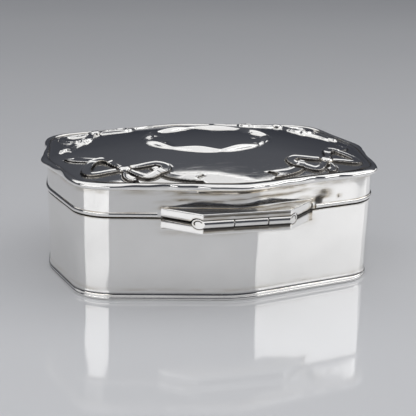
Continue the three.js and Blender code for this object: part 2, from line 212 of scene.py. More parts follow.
def facet_stations(k, steps):
    """Points and normals from the middle of one rounding towards the middle of the next."""
    first = ROUNDINGS[k]
    second = ROUNDINGS[(k + 1) % len(ROUNDINGS)]
    leave = first[2] + first[3]
    start, normal = on_arc(first, leave)
    end, _ = on_arc(second, second[2])
    first_arc = first[1] * first[3] / 2
    second_arc = second[1] * second[3] / 2
    straight = float(np.linalg.norm(end - start))
    whole = first_arc + straight + second_arc
    rows = []
    for step in range(steps):
        share = step / steps
        along = whole * share
        if along < first_arc:
            point, facing = on_arc(first, leave - (first_arc - along) / first[1])
        elif along < first_arc + straight:
            point = start + (end - start) * (along - first_arc) / straight
            facing = normal
        else:
            point, facing = on_arc(second, second[2] + (along - first_arc - straight) / second[1])
        rows.append((*point, *facing, share))
    return np.array(rows), whole


def plan_stations(spacing):
    """Stations all round the plan: points and outward normals."""
    rows = []
    for k in range(len(ROUNDINGS)):
        _, whole = facet_stations(k, 1)
        facet, _ = facet_stations(k, math.ceil(whole / spacing))
        rows.append(facet)
    table = np.concatenate(rows)
    return table[:, :2], table[:, 2:4]


def hinge_side(x):
    """Height in y of the wall's outer face on the hinge side, with the rounded middle."""
    centre, radius, first, turn = ROUNDINGS[0]
    flat = SIDE_APEX - LONG_SIDE_BOW * np.abs(x) / CORNER_X
    reach = radius * math.sin(turn / 2)
    curved = centre[1] + np.sqrt(np.maximum(radius ** 2 - np.minimum(np.abs(x), reach) ** 2, 0))
    return np.where(np.abs(x) < reach, curved, flat)


WALL_APEX = float(hinge_side(np.array(0.0)))
AXIS_Y = WALL_APEX + AXIS_STAND
AXIS_Z = (BODY_TOP + LID_BOTTOM) / 2


def softened(corners, steps=4):
    """Closed section from [offset, height, rounding] corners."""
    result = []
    for k, (x, z, rounding) in enumerate(corners):
        here = np.array([x, z], float)
        if rounding == 0:
            result.append(here)
            continue
        before = np.array(corners[k - 1][:2])
        after = np.array(corners[(k + 1) % len(corners)][:2])
        start = here + unit(before - here) * rounding
        end = here + unit(after - here) * rounding
        for t in np.linspace(0, 1, steps + 1):
            result.append((1 - t) ** 2 * start + 2 * t * (1 - t) * here + t * t * end)
    return np.array(result)


def filled(section, spacing):
    """The section with points added on its longer sides."""
    result = []
    for here, there in zip(section, np.roll(section, -1, axis=0)):
        count = max(1, math.ceil(np.linalg.norm(there - here) / spacing))
        for step in range(count):
            result.append(here + (there - here) * step / count)
    return np.array(result)


def lofted(count, size, closed=True, sides=None):
    """Faces between sections that follow each other; an open row gets end faces, and sides is the number of a
    section's sides where it isn't closed."""
    spans = count if closed else count - 1
    here = np.arange(spans)[:, None] * size
    there = (np.arange(spans)[:, None] + 1) % count * size
    side = np.arange(sides or size)[None, :]
    beside = (side + 1) % size
    corners = [here + side, there + side, there + beside, here + beside]
    faces = np.stack(corners, axis=2).reshape(-1, 4).tolist()
    if not closed:
        faces.append(list(range(size))[::-1])
        faces.append(list(range((count - 1) * size, count * size)))
    return faces


def ring(points, normals, sections, closed=True):
    """Vertices and faces of a band that carries one section of [offset, height] per station."""
    plan = points[:, None, :] + sections[:, :, :1] * normals[:, None, :]
    vertices = np.concatenate([plan, sections[:, :, 1:]], axis=2).reshape(-1, 3)
    return vertices, lofted(*sections.shape[:2], closed)


def even_ring(points, normals, section, closed=True):
    """Vertices and faces of a band with the same section all along."""
    return ring(points, normals, np.repeat(section[None], len(points), axis=0), closed)


def level_ring(points, normals, offset, height, share=1):
    """Points at one height, on the plan moved outward by an offset and scaled by a share."""
    plan = (points + offset * normals) * share
    return np.column_stack([plan, np.full(len(plan), height)])


def sheet(rings, first_middle, last_middle):
    """Vertices and faces of a closed sheet: rings that follow each other from one middle to the other."""
    count, size = rings.shape[:2]
    vertices = np.concatenate([rings.reshape(-1, 3), [first_middle, last_middle]])
    side = np.arange(size)
    beside = (side + 1) % size
    faces = []
    for here in range(0, (count - 1) * size, size):
        there = here + size
        faces += np.column_stack([here + side, there + side, there + beside, here + beside]).tolist()
    last = (count - 1) * size
    middle = np.full(size, count * size)
    faces += np.column_stack([middle, side, beside]).tolist()
    faces += np.column_stack([middle + 1, last + beside, last + side]).tolist()
    return vertices, faces


def outward(vertices, faces):
    """The faces, turned round where the closed surface is inside out."""
    volume = 0.0
    by_size = {}
    for face in faces:
        by_size.setdefault(len(face), []).append(face)
    for group in by_size.values():
        corner = vertices[np.array(group)]
        for k in range(1, corner.shape[1] - 1):
            turned = np.cross(corner[:, k], corner[:, k + 1])
            volume += float((corner[:, 0] * turned).sum())
    if volume < 0:
        return [face[::-1] for face in faces]
    return faces


def welded(vertices, faces, marks):
    """The mesh with points in one place joined and faces without area left out."""
    points, ids = np.unique(np.round(vertices, 5) + 0.0, axis=0, return_inverse=True)
    ids = ids.ravel()
    joined_marks = np.zeros(len(points))
    np.maximum.at(joined_marks, ids, marks)
    joined_faces = []
    for face in faces:
        around = ids[face].tolist()
        corners = [point for k, point in enumerate(around) if point != around[k - 1]]
        if len(set(corners)) > 2:
            joined_faces.append(corners)
    return points, joined_faces, joined_marks


def add_piece(name, node, vertices, faces, materials, second=None, tarnish_and_painted_shade=None):
    """Makes a mesh piece that stands for a CAD node and rides on the node's body."""
    mesh = bpy.data.meshes.new(name)
    mesh.from_pydata((vertices * MM).tolist(), [], outward(vertices, faces))
    for material in materials:
        mesh.materials.append(material)
    mesh.polygons.foreach_set("use_smooth", [True] * len(faces))
    if second is not None:
        mesh.polygons.foreach_set("material_index", np.asarray(second, dtype=np.int32))
    # The mark attribute holds warm tarnish and, near 1, painted shade and painted reflection
    marks = mesh.attributes.new("tarnish_and_painted_shade", "FLOAT", "POINT")
    values = np.zeros(len(vertices)) if tarnish_and_painted_shade is None else np.clip(tarnish_and_painted_shade, 0, 1)
    marks.data.foreach_set("value", values.astype(np.float32))
    mesh.set_sharp_from_angle(angle=SHARP_ANGLE)
    mesh.update()
    piece = bpy.data.objects.new(name, mesh)
    bpy.context.collection.objects.link(piece)
    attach(piece, BODY_OF[node])
    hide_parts(node)
    return piece


BODY_OF = {}
for body_name, node_names in frame["record"]["behaviour"]["bodies"].items():
    for node_name in node_names:
        BODY_OF[node_name] = body_name


# Materials
def add_node(tree, kind, values=None, **settings):
    """A new shader node; values go to its inputs, as links where they are sockets."""
    node = tree.nodes.new(kind)
    for key, value in settings.items():
        setattr(node, key, value)
    for socket, value in (values or {}).items():
        if isinstance(value, bpy.types.NodeSocket):
            tree.links.new(value, node.inputs[socket])
        else:
            node.inputs[socket].default_value = value
    return node


def ramp(tree, source, stops):
    """A colour ramp from [position, grey level] stops."""
    node = add_node(tree, "ShaderNodeValToRGB", {"Fac": source})
    band = node.color_ramp
    while len(band.elements) < len(stops):
        band.elements.new(0.5)
    for element, (position, level) in zip(band.elements, stops):
        element.position = position
        element.color = (level, level, level, 1)
    return node.outputs["Color"]


def mixed(tree, factor, first, second):
    """The mix of two colours by a factor."""
    node = add_node(tree, "ShaderNodeMix", data_type="RGBA")
    tree.links.new(factor, node.inputs["Factor"])
    for socket, value in ((node.inputs[6], first), (node.inputs[7], second)):
        if isinstance(value, bpy.types.NodeSocket):
            tree.links.new(value, socket)
        else:
            socket.default_value = value
    return node.outputs[2]


def combined(tree, operation, first, second):
    """The result of a sum or another operation on two values."""
    return add_node(tree, "ShaderNodeMath", {0: first, 1: second}, operation=operation).outputs[0]


# Directions of the fine scratches, as turns about the three axes
SCRATCH_TURNS = [(0.2, 0.5, 0.3), (1.1, 0.2, 1.9), (0.7, 1.3, 2.6)]


def polished_metal(name, clean, hazy, warm, painted_shade_colour, roughness):
    """Polished metal with hand-rubbed haze and fine scratches; low marks are warm, patchy tarnish, and full
    marks are painted shade and painted reflection, dark and even."""
    material = bpy.data.materials.new(name)
    material.use_nodes = True
    tree = material.node_tree
    tree.nodes.clear()
    place = add_node(tree, "ShaderNodeTexCoord").outputs["Object"]
    cloud = add_node(
        tree, "ShaderNodeTexNoise", {"Vector": place, "Scale": 70, "Detail": 5, "Roughness": 0.6}
    )
    smear = ramp(tree, cloud.outputs["Fac"], [(0.35, 0), (0.72, 1)])
    scratches = None
    for turn in SCRATCH_TURNS:
        turned = add_node(
            tree, "ShaderNodeMapping", {"Vector": place, "Rotation": turn, "Scale": (90, 3200, 3200)}
        )
        grain = add_node(
            tree, "ShaderNodeTexNoise", {"Vector": turned.outputs[0], "Scale": 1, "Detail": 2}
        )
        lines = ramp(tree, grain.outputs["Fac"], [(0.64, 0), (0.74, 1)])
        scratches = lines if scratches is None else combined(tree, "MAXIMUM", scratches, lines)
    mark = add_node(tree, "ShaderNodeAttribute", attribute_name="tarnish_and_painted_shade").outputs["Fac"]
    streak = add_node(tree, "ShaderNodeMapping", {"Vector": place, "Scale": (0.35, 0.35, 1.6)})
    patch = add_node(
        tree, "ShaderNodeTexNoise", {"Vector": streak.outputs[0], "Scale": 420, "Detail": 4}
    )
    patchy = ramp(tree, patch.outputs["Fac"], [(0.36, 0.1), (0.62, 1)])
    stained = combined(tree, "MULTIPLY", mark, patchy)
    # Full marks mix in the dark colour: painted shade and painted reflection
    painted_shade_share = ramp(tree, mark, [(0.78, 0), (0.97, 1)])
    colour = mixed(tree, stained, mixed(tree, smear, clean, hazy), warm)
    colour = mixed(tree, painted_shade_share, colour, painted_shade_colour)
    rough = combined(tree, "ADD", combined(tree, "MULTIPLY", smear, 0.05), roughness)
    rough = combined(tree, "ADD", rough, combined(tree, "MULTIPLY", scratches, 0.1))
    rough = combined(tree, "ADD", rough, combined(tree, "MULTIPLY", stained, 0.25))
    planish = add_node(tree, "ShaderNodeTexNoise", {"Vector": place, "Scale": 130, "Detail": 1})
    soft_bump = add_node(
        tree, "ShaderNodeBump", {"Height": planish.outputs["Fac"], "Strength": 0.12, "Distance": 0.00008}
    )
    fine_bump = add_node(
        tree, "ShaderNodeBump",
        {"Height": scratches, "Strength": 0.2, "Distance": 0.00001, "Normal": soft_bump.outputs[0]},
    )
    fine_bump.invert = True
    shader = add_node(
        tree, "ShaderNodeBsdfPrincipled",
        {"Base Color": colour, "Roughness": rough, "Normal": fine_bump.outputs[0], "Metallic": 1.0},
    )
    add_node(tree, "ShaderNodeOutputMaterial", {"Surface": shader.outputs[0]})
    return material


# The dark colour of each metal is painted shade and painted reflection, laid where the marks are full
silver = polished_metal(
    "polished_silver",
    clean=(0.93, 0.92, 0.9, 1),
    hazy=(0.88, 0.87, 0.85, 1),
    warm=(0.46, 0.39, 0.28, 1),
    painted_shade_colour=(0.07, 0.065, 0.06, 1),
    roughness=0.04,
)
gold_wash = polished_metal(
    "gold_wash",
    clean=(0.9, 0.68, 0.34, 1),
    hazy=(0.84, 0.66, 0.38, 1),
    warm=(0.4, 0.26, 0.12, 1),
    painted_shade_colour=(0.1, 0.07, 0.04, 1),
    roughness=0.12,
)


# Walls
def wall_lean(height):
    """How far the tapered wall's outer face lies inside the plan at a height."""
    return WALL_TAPER * (BODY_TOP - height) / (BODY_TOP - BASE_THICKNESS)


def hand_raised(points, heights, low, high):
    """Soft unevenness of a sheet worked by hand: offsets in millimetres, none at the edges."""
    x = points[:, None, 0]
    y = points[:, None, 1]
    z = heights
    waves = np.sin(0.13 * x + 0.21 * z + 0.4) * np.cos(0.17 * y - 0.15 * z)
    waves = waves + 0.6 * np.sin(0.29 * x - 0.23 * y + 0.33 * z + 1.3)
    hold = np.sin(np.pi * np.clip((z - low) / (high - low), 0, 1))
    return HAND_WAVE * waves * hold


def wall_piece(name, node, corners, low, high, tarnish_and_shade_at):
    """A wall band with silver outside and a gold wash inside, from the corners of its section."""
    points, normals = plan_stations(WALL_SPACING)
    section = filled(softened(corners), WALL_SECTION_SPACING)
    sections = np.repeat(section[None], len(points), axis=0)
    sections[:, :, 0] += hand_raised(points, sections[:, :, 1], low, high)
    vertices, faces = ring(points, normals, sections)
    middle = (section + np.roll(section, -1, axis=0)) / 2
    lean = wall_lean(np.minimum(middle[:, 1], BODY_TOP))
    inner = middle[:, 0] < -WALL_THICKNESS / 2 - lean
    second = np.tile(inner, len(points))
    return add_piece(
        name, node, vertices, faces, [silver, gold_wash], second=second, tarnish_and_painted_shade=tarnish_and_shade_at(vertices)
    )


# Marks along a hinge leaf, a broad tarnish stain and a line of painted shade at the leaf's root: where they
# stop, from the leaf's ends, and where they fade above and below
BROAD_STAIN = ((3, -4), (3.2, 0.2))
ROOT_SHADE_LINE = ((0.6, -0.2), (0.7, 0.35))


def along_leaf(vertices, height, ends, fade):
    """A level mark on the hinge side's wall, full along the hinge leaf's edge at a height."""
    past_ends = np.abs(vertices[:, 0]) - LEAF_HALF_BACK
    return smooth(*ends, past_ends) * (vertices[:, 1] > 0) * smooth(*fade, np.abs(vertices[:, 2] - height))


def case_marks(vertices):
    """Marks of the case's wall: tarnish under the hinge, warmer and darker towards the foot, and painted
    shade as a dark line at the seam.
    """
    height = vertices[:, 2]
    under_hinge = 0.6 * along_leaf(vertices, BODY_TOP - LEAF_HEIGHT, *BROAD_STAIN)
    above_foot = 0.4 * smooth(4.2, 2.6, height)
    # Painted shade: the wall's top edge goes dark in the gap under the lid
    seam_shade = smooth(BODY_TOP - 0.3, BODY_TOP - 0.15, height)
    return np.max([under_hinge, above_foot, seam_shade], axis=0)


def lid_marks(vertices):
    """Marks of the lid's wall: streaks over the hinge, tarnish with painted reflection, a smudge and a dent
    drawn as a dark spot of painted shade beside it, darker and warmer under the rim, and painted shade as a
    dark line at the hinge leaf's root."""
    x, y, height = vertices.T
    behind = y > 0
    beside = smooth(LEAF_HALF_BACK + 4, LEAF_HALF_BACK - 6, np.abs(x)) * behind
    # Streaks over the hinge: tarnish and painted reflection
    tarnish_and_reflection_streaks = 0.5 + 0.44 * np.sin(3.1 * height + 0.08 * x + 0.6 * np.sin(0.31 * x))
    past_leaf = -x - LEAF_HALF_BACK
    near = np.hypot(past_leaf - SMUDGE[0], 0.8 * (height - SMUDGE[1]))
    above = np.hypot(past_leaf - SMUDGE_ABOVE[0], height - SMUDGE_ABOVE[1])
    smudge = np.maximum(0.97 * smooth(4.4, 0.8, near), 0.9 * smooth(4.4, 0.8, above)) * behind
    # Dent: painted shade, a dark spot with no dent in the mesh
    dent_shade = 0.95 * smooth(1.1, 0.5, np.hypot(past_leaf - DENT_SHADE[0], height - DENT_SHADE[1])) * behind
    under_rim = 0.55 * smooth(LID_WALL_TOP - 2.7, LID_WALL_TOP - 1.1, height)
    # Painted shade in the crease at the hinge leaf's root
    root_shade = 0.95 * along_leaf(vertices, LID_BOTTOM + LEAF_HEIGHT, *ROOT_SHADE_LINE)
    return np.max([beside * tarnish_and_reflection_streaks, smudge, dent_shade, under_rim, root_shade], axis=0)


wall_piece(
    "case_wall", "body_wall",
    [
        (-WALL_TAPER, BASE_THICKNESS, 0),
        (0, BODY_TOP, SEAM_ROUNDING),
        (-WALL_THICKNESS, BODY_TOP, 0),
        (-WALL_THICKNESS - WALL_TAPER, BASE_THICKNESS, 0),
    ],
    BASE_THICKNESS, BODY_TOP, case_marks,
)
wall_piece(
    "lid_side", "lid_wall",
    [
        (0, LID_BOTTOM, 0),
        (0, LID_WALL_TOP, 0),
        (-WALL_THICKNESS, LID_WALL_TOP, 0),
        (-WALL_THICKNESS, LID_BOTTOM, LID_INNER_ROUNDING),
    ],
    LID_BOTTOM, LID_WALL_TOP, lid_marks,
)

# Stations that the foot, the base and the bezel share
trim_points, trim_normals = plan_stations(TRIM_SPACING)

# Foot moulding: a hollow quarter round between the ledge and the wall
foot_lip = BASE_LEDGE - FOOT_LIP_SETBACK
lip_top = BASE_THICKNESS + FOOT_LIP_HEIGHT
cove = []
for angle in np.linspace(0, math.pi / 2, 9):
    height = lip_top + (FOOT_COVE_HEIGHT - FOOT_LIP_HEIGHT) * (1 - math.cos(angle))
    cove.append((foot_lip * (1 - math.sin(angle)) - wall_lean(height), height))
foot_section = np.array([
    (-WALL_TAPER - FOOT_SINK, BASE_THICKNESS),
    (foot_lip - WALL_TAPER, BASE_THICKNESS),
    *cove,
    (-WALL_TAPER - FOOT_SINK, cove[-1][1] + 0.05),
])
foot_vertices, foot_faces = even_ring(trim_points, trim_normals, foot_section)
foot_mark = 0.55 * smooth(0.35, 0.0, np.abs(foot_section[:, 1] - lip_top - 0.4))
foot_mark = np.tile(foot_mark, len(trim_points))
add_piece("foot_hollow", "foot_moulding", foot_vertices, foot_faces, [silver], tarnish_and_painted_shade=foot_mark)

# Base, from the middle of its underside round the edge to the middle of its inside; its rounded edge is given
# as [inset, share of the thickness]
edge = BASE_LEDGE - WALL_TAPER
wall_foot_inside = -WALL_TAPER - WALL_THICKNESS
rounded_edge = [(0.35, 0), (0.2, 0.04), (0.06, 0.2), (0, 0.5), (0.06, 0.8), (0.2, 0.96), (0.35, 1)]
base_profile = [
    (edge - 0.3, 0, 0.3),
    (edge - 0.3, 0, 0.7),
    (edge - 1.0, 0, 1),
    *[(edge - inset, share * BASE_THICKNESS, 1) for inset, share in rounded_edge],
    (wall_foot_inside - 0.1, BASE_THICKNESS, 1),
    (wall_foot_inside - 0.5, BASE_THICKNESS, 1),
    (-BASE_INNER_RING, BASE_THICKNESS, 1),
    (-BASE_INNER_RING, BASE_THICKNESS, 0.7),
    (-BASE_INNER_RING, BASE_THICKNESS, 0.3),
]
base_rings = np.array([level_ring(trim_points, trim_normals, *level) for level in base_profile])
base_vertices, base_faces = sheet(base_rings, (0, 0, 0), (0, 0, BASE_THICKNESS))
face_middle = np.array([base_vertices[face][:, 2].mean() for face in base_faces])
base_second = face_middle > BASE_THICKNESS - 0.01
base_mark = 0.5 * smooth(0.12, 0.02, base_vertices[:, 2])
add_piece(
    "base_sheet", "base_plate", base_vertices, base_faces, [silver, gold_wash],
    second=base_second, tarnish_and_painted_shade=base_mark,
)

# Bezel, soldered behind the case's wall and standing up into the lid
bezel_outer = -WALL_THICKNESS - BEZEL_CLEARANCE
bezel_inner = bezel_outer - BEZEL_THICKNESS
bezel_foot = BODY_TOP - BEZEL_DEPTH
bezel_section = filled(softened([
    (-WALL_THICKNESS - wall_lean(bezel_foot), bezel_foot, 0),
    (-WALL_THICKNESS, BODY_TOP, 0),
    (bezel_outer, BODY_TOP, 0.05),
    (bezel_outer, BODY_TOP + BEZEL_RISE, 0.2),
    (bezel_inner, BODY_TOP + BEZEL_RISE, 0.2),
    (bezel_inner, bezel_foot, 0.1),
]), BEZEL_SECTION_SPACING)
bezel_vertices, bezel_faces = even_ring(trim_points, trim_normals, bezel_section)
add_piece("bezel_strip", "body_bezel", bezel_vertices, bezel_faces, [gold_wash])

# Half-round wire along the lid's lower edge; the stations start at the hinge, so one row is left beside it
wire_angles = np.linspace(0, math.pi, 11)
wire_section = np.column_stack([
    EDGE_WIRE_STAND * np.sin(wire_angles),
    LID_BOTTOM + EDGE_WIRE_HEIGHT / 2 * (1 - np.cos(wire_angles)),
])
wire_limit = LEAF_HALF_BACK + EDGE_WIRE_END_GAP
wire_points, wire_normals = plan_stations(WIRE_SPACING)
wire_kept = (wire_points[:, 1] < 0) | (np.abs(wire_points[:, 0]) > wire_limit)
wire_points = wire_points[wire_kept]
wire_normals = wire_normals[wire_kept]
wire_vertices, wire_faces = even_ring(wire_points, wire_normals, wire_section, closed=False)
# Wire marks: warm tarnish along its top, painted shade along its bottom in the gap at the seam
wire_rise = wire_section[:, 1] - LID_BOTTOM
wire_mark = np.maximum(0.75 * smooth(1.0, 1.35, wire_rise), smooth(0.22, 0.04, wire_rise))
wire_mark = np.tile(wire_mark, len(wire_points))
add_piece("lid_edge", "lid_edge_wire", wire_vertices, wire_faces, [silver], tarnish_and_painted_shade=wire_mark)

# Wavy rim
rim_low = LID_WALL_TOP - RIM_DROP
rim_high = TOP_EDGE + RIM_CREST
rim_middle = (rim_low + rim_high) / 2
rim_half = (rim_high - rim_low) / 2


def rim_section(wave, strip):
    """The rim's section; strip is how far its lower edge hangs down as a thin strip."""
    reach = RIM_OVERHANG - RIM_CREST_WIDTH + wave - 0.02
    corners = [(-0.05, rim_low + 0.02 - strip)]
    for angle in np.linspace(-math.pi / 2, math.pi / 2, 17):
        hang = strip * float(smooth(-0.9, -0.97, math.sin(angle)))
        height = rim_middle + rim_half * math.sin(angle) - hang
        corners.append((RIM_CREST_WIDTH + reach * math.cos(angle), height))
    # Inner slope, from the crest down to the top sheet
    corners += [
        (0.15, rim_high - 0.04),
        (-0.05, rim_high - 0.14),
        (-0.2, rim_high - 0.3),
        (-0.32, TOP_EDGE + 0.02),
        (-0.4, TOP_EDGE - 0.08),
        (-0.45, TOP_EDGE - 0.2),
    ]
    return np.array(corners)


rim_rows = []
rim_sections = []
rim_strips = []
strip_first, strip_full, strip_end, strip_last = RIM_STRIP_ENDS
for k in range(len(ROUNDINGS)):
    ends = (PLAN_CORNERS[k], PLAN_CORNERS[(k + 1) % len(PLAN_CORNERS)])
    lobes = LONG_FACET_LOBES if any(x == 0 for x, _, _ in ends) else END_FACET_LOBES
    rows, _ = facet_stations(k, lobes * RIM_STEPS_PER_LOBE)
    rim_rows.append(rows)
    for x, y, _, _, share in rows:
        ripple = RIM_RIPPLE * math.cos(2 * math.pi * lobes * share)
        swell = RIM_SWELL * math.cos(2 * math.pi * share)
        hang = float(smooth(strip_first, strip_full, x) * smooth(strip_last, strip_end, x)) * (y > 0)
        rim_sections.append(rim_section(ripple + swell, RIM_STRIP * hang))
        rim_strips.append(hang)
rim_rows = np.concatenate(rim_rows)
rim_sections = np.array(rim_sections)
rim_vertices, rim_faces = ring(rim_rows[:, :2], rim_rows[:, 2:4], rim_sections)
# Rim marks: painted shade in the groove on the rim's inner slope, warm along its lower edge, and painted
# shadow where the hanging strip meets the roll
rim_offset = rim_sections[:, :, 0].ravel()
at_bottom = smooth(rim_low + 0.3, rim_low + 0.1, rim_vertices[:, 2])
strip_shadow_band = np.repeat(rim_strips, rim_sections.shape[1]) * smooth(0.65, 0.75, rim_offset)
rim_mark = np.max([smooth(-0.15, -0.32, rim_offset), 0.6 * at_bottom, at_bottom * strip_shadow_band], axis=0)
add_piece("rolled_rim", "lid_rim", rim_vertices, rim_faces, [silver], tarnish_and_painted_shade=rim_mark)


# Embossed top
def smooth_line(corners, spacing=0.2):
    """Points about a spacing apart on a smooth open line through plan points."""
    corners = np.array(corners, float)
    count = len(corners)
    points = []
    for k in range(count - 1):
        four = corners[[max(k - 1, 0), k, k + 1, min(k + 2, count - 1)]]
        steps = max(2, math.ceil(np.linalg.norm(four[2] - four[1]) / spacing))
        for t in np.arange(steps) / steps:
            weights = np.array([
                -t + 2 * t ** 2 - t ** 3,
                2 - 5 * t ** 2 + 3 * t ** 3,
                t + 4 * t ** 2 - 3 * t ** 3,
                -t ** 2 + t ** 3,
            ]) / 2
            points.append(weights @ four)
    points.append(corners[-1])
    return np.array(points)


class Relief:
    """Height and painted shadow outlines of the embossed pattern over plan points; soft is half the width
    over which a ribbon's edge rises."""

    # Distances outside a ribbon's edge between which the ground sinks, the painted shadow outline starts and
    # stops and the edge is raised
    HALO = (0.9, 0.2)
    OUTLINE_SHADOW_START = (0.45, 0.15)
    OUTLINE_SHADOW_STOP = (-0.36, -0.14)
    RIDGE = (-0.7, -0.36)
    # How deep the ground sinks, how much lower a flat ribbon's middle is and how much of what it covers shows
    SINK = 0.1
    RIDGE_SHARE = 0.26
    SHOW_THROUGH = 0.45
    # How far past a ribbon's edge its effect is worked out
    REACH = 1.2

    def __init__(self, plan, soft):
        self.plan = plan
        self.soft = soft
        self.height = np.zeros(len(plan))
        self.shadow_outline = np.zeros(len(plan))

    def lay(self, line, half, rise, tilt, crown, closed, outline, fork=0.0):
        """Lays a ribbon over what is there; half, rise and tilt are given along the line. A crown of 1 makes
        it round, 0 flat with raised edges; outline is how dark the painted shadow in the groove beside it is,
        and fork is the depth of the notch in its end."""
        ahead = np.gradient(line, axis=0)
        if closed:
            ahead = (np.roll(line, -1, axis=0) - np.roll(line, 1, axis=0)) / 2
        gaps = np.linalg.norm(ahead, axis=1)
        ahead = ahead / gaps[:, None]
        travelled = np.cumsum(gaps) - gaps[0]
        margin = half.max() + self.REACH
        inside_box = (self.plan > line.min(axis=0) - margin) & (self.plan < line.max(axis=0) + margin)
        near = np.flatnonzero(inside_box.all(axis=1))
        tree = KDTree(len(line))
        for k, point in enumerate(line):
            tree.insert((point[0], point[1], 0), k)
        tree.balance()
        best = np.array([tree.find((x, y, 0))[1] for x, y in self.plan[near]])
        offset = self.plan[near] - line[best]
        across = offset[:, 1] * ahead[best, 0] - offset[:, 0] * ahead[best, 1]
        beyond = (offset * ahead[best]).sum(axis=1)
        side = across / half[best]
        width = np.abs(side)
        clear = (width - 1) * half[best]
        if not closed:
            stop = fork * (1 - np.minimum(width, 1) ** 1.5)
            clear = np.maximum(clear, travelled[best] + beyond - (travelled[-1] - stop))
            clear = np.maximum(clear, -(travelled[best] + beyond))
        edge = smooth(self.soft, -self.soft, clear)
        halo = smooth(*self.HALO, clear)
        # Painted shadow in the groove beside the ribbon
        outline_shadow_band = smooth(*self.OUTLINE_SHADOW_START, clear) * smooth(*self.OUTLINE_SHADOW_STOP, clear)
        ridge = smooth(*self.RIDGE, clear) * (self.soft <= OUTER_EDGE)
        inside = np.minimum(width, 1)
        rounded = 1 - 0.8 * inside ** 2
        flat = 1 - self.RIDGE_SHARE + self.RIDGE_SHARE * ridge
        lift = rise[best] * (crown * rounded + (1 - crown) * flat + tilt[best] * inside * np.sign(side))
        below = self.height[near]
        ground = below * (1 - 0.5 * halo) - self.SINK * halo
        lift = lift + self.SHOW_THROUGH * np.maximum(below, 0)
        self.height[near] = ground * (1 - edge) + lift * edge
        self.shadow_outline[near] = np.maximum(self.shadow_outline[near] * (1 - edge), outline * outline_shadow_band)

    def bump(self, centre, half, rise):
        """Raises a rounded knot with a painted shadow ring round it."""
        offset = (self.plan - centre) / half
        distance = np.hypot(offset[:, 0], offset[:, 1])
        dome = np.maximum(1 - distance ** 4, 0) ** 0.6
        halo = smooth(1.4, 1.05, distance)
        inside = distance < 1
        ground = self.height * (1 - 0.5 * halo) - self.SINK * halo * smooth(0.9, 1.05, distance)
        self.height = np.where(inside, np.maximum(ground, rise * dome), ground)
        # Painted shadow ring round the knot
        ring_shadow = halo * smooth(0.9, 1.0, distance)
        self.shadow_outline = np.maximum(np.where(inside, 0, self.shadow_outline), ring_shadow)


# One bow in the quarter where x and y are positive, as plan points measured from its knot
MID_LOOP = [(-0.8, -0.4), (-4.3, -0.4), (-7.4, -0.9), (-10, -0.9), (-12, 1.2), (-11.2, 3.8), (-8.8, 5),
            (-6.2, 6.6), (-4.2, 5.9), (-2.2, 3.4), (-0.8, 0.8)]
END_LOOP = [(0.4, -0.8), (1.7, -3.2), (2.7, -6.6), (4, -9.4), (6, -10.4), (8, -9.2), (9.8, -6), (10.8, -2.6),
            (10.2, -0.1), (8, 0.7), (5.3, 0.5), (2.6, 0.4), (0.8, 0.2)]
MID_TAIL = [(-8.4, 1.2), (-9.6, 4), (-11.6, 6.6), (-14, 8.3), (-16.6, 9.3), (-19, 10), (-21.4, 10.6)]
END_TAIL = [(3, -7), (4.8, -9.8), (7.2, -11.8), (9, -13.5), (10.6, -15.2), (12, -17.3), (13, -19.6)]
RUFFLE = [(0, 1.2), (0.3, 3.6), (0.2, 5.4), (-0.8, 6.9), (-3, 7.6)]


def lay_bow(relief, side_x, side_y):
    """Lays one bow in a quarter of the lid; the hinge side's bows have painted shadow outlines."""
    mirror = np.array([side_x, side_y])
    hand = side_x * side_y
    outline = 1.0 if side_y > 0 else 0.0

    def placed(corners):
        line = smooth_line(mirror * (KNOT + np.array(corners)))
        return line, np.linspace(0, 1, len(line))

    for tail in (MID_TAIL, END_TAIL):
        line, share = placed(tail)
        half = TAIL_HALF + TAIL_SPREAD * smooth(0.1, 0.5, share) + TAIL_RIPPLE * np.sin(9 * share)
        tilt = RIBBON_TILT * hand * np.sin(2 * math.pi * (share * 1.1 + 0.2))
        relief.lay(line, half, TAIL_RISE + 0 * share, tilt, 0, False, outline, fork=TAIL_FORK)
    line, share = placed(RUFFLE)
    half = RUFFLE_HALF + RUFFLE_SPREAD * smooth(0.1, 0.7, share)
    tilt = RIBBON_TILT * hand * np.sin(4 * share)
    relief.lay(line, half, TAIL_RISE + 0 * share, tilt, 0, False, outline, fork=RUFFLE_FORK)
    for loop in (END_LOOP, MID_LOOP):
        line, share = placed(loop)
        half = LOOP_HALF + LOOP_SPREAD * np.sin(math.pi * share) ** 0.7
        tilt = RIBBON_TILT * hand * np.cos(2 * math.pi * share)
        relief.lay(line, half, LOOP_RISE + 0 * share, tilt, 0, False, outline)
    relief.bump(mirror * KNOT, KNOT_HALF, KNOT_RISE)


def lay_cartouche(relief):
    """Lays the oval of twisted ribbon in the lid's middle."""
    angle = np.linspace(0, 2 * math.pi, 1440, endpoint=False)
    wave = CARTOUCHE_WAVE * np.cos(CARTOUCHE_LOBES * angle)
    circle = np.column_stack([np.cos(angle), np.sin(angle)])
    pointed = np.sign(circle) * np.abs(circle) ** (2 / CARTOUCHE_POWER)
    line = (CARTOUCHE_HALF + wave[:, None]) * pointed
    swell = np.abs(np.sin(CARTOUCHE_LOBES / 2 * angle)) ** 1.2
    half = TWIST_HALF + TWIST_SPREAD * swell
    rise = TWIST_RISE + TWIST_SWELL * swell
    relief.lay(line, half, rise, 0 * swell, 1, True, 0)


def emboss(plan, soft):
    """The whole embossed pattern over plan points."""
    relief = Relief(plan, soft)
    lay_cartouche(relief)
    for side_x in (-1, 1):
        for side_y in (-1, 1):
            lay_bow(relief, side_x, side_y)
    return relief


top_points, top_normals = plan_stations(TOP_SPACING)
seat = top_points - TOP_SEAT * top_normals
seat_half = seat.max(axis=0)


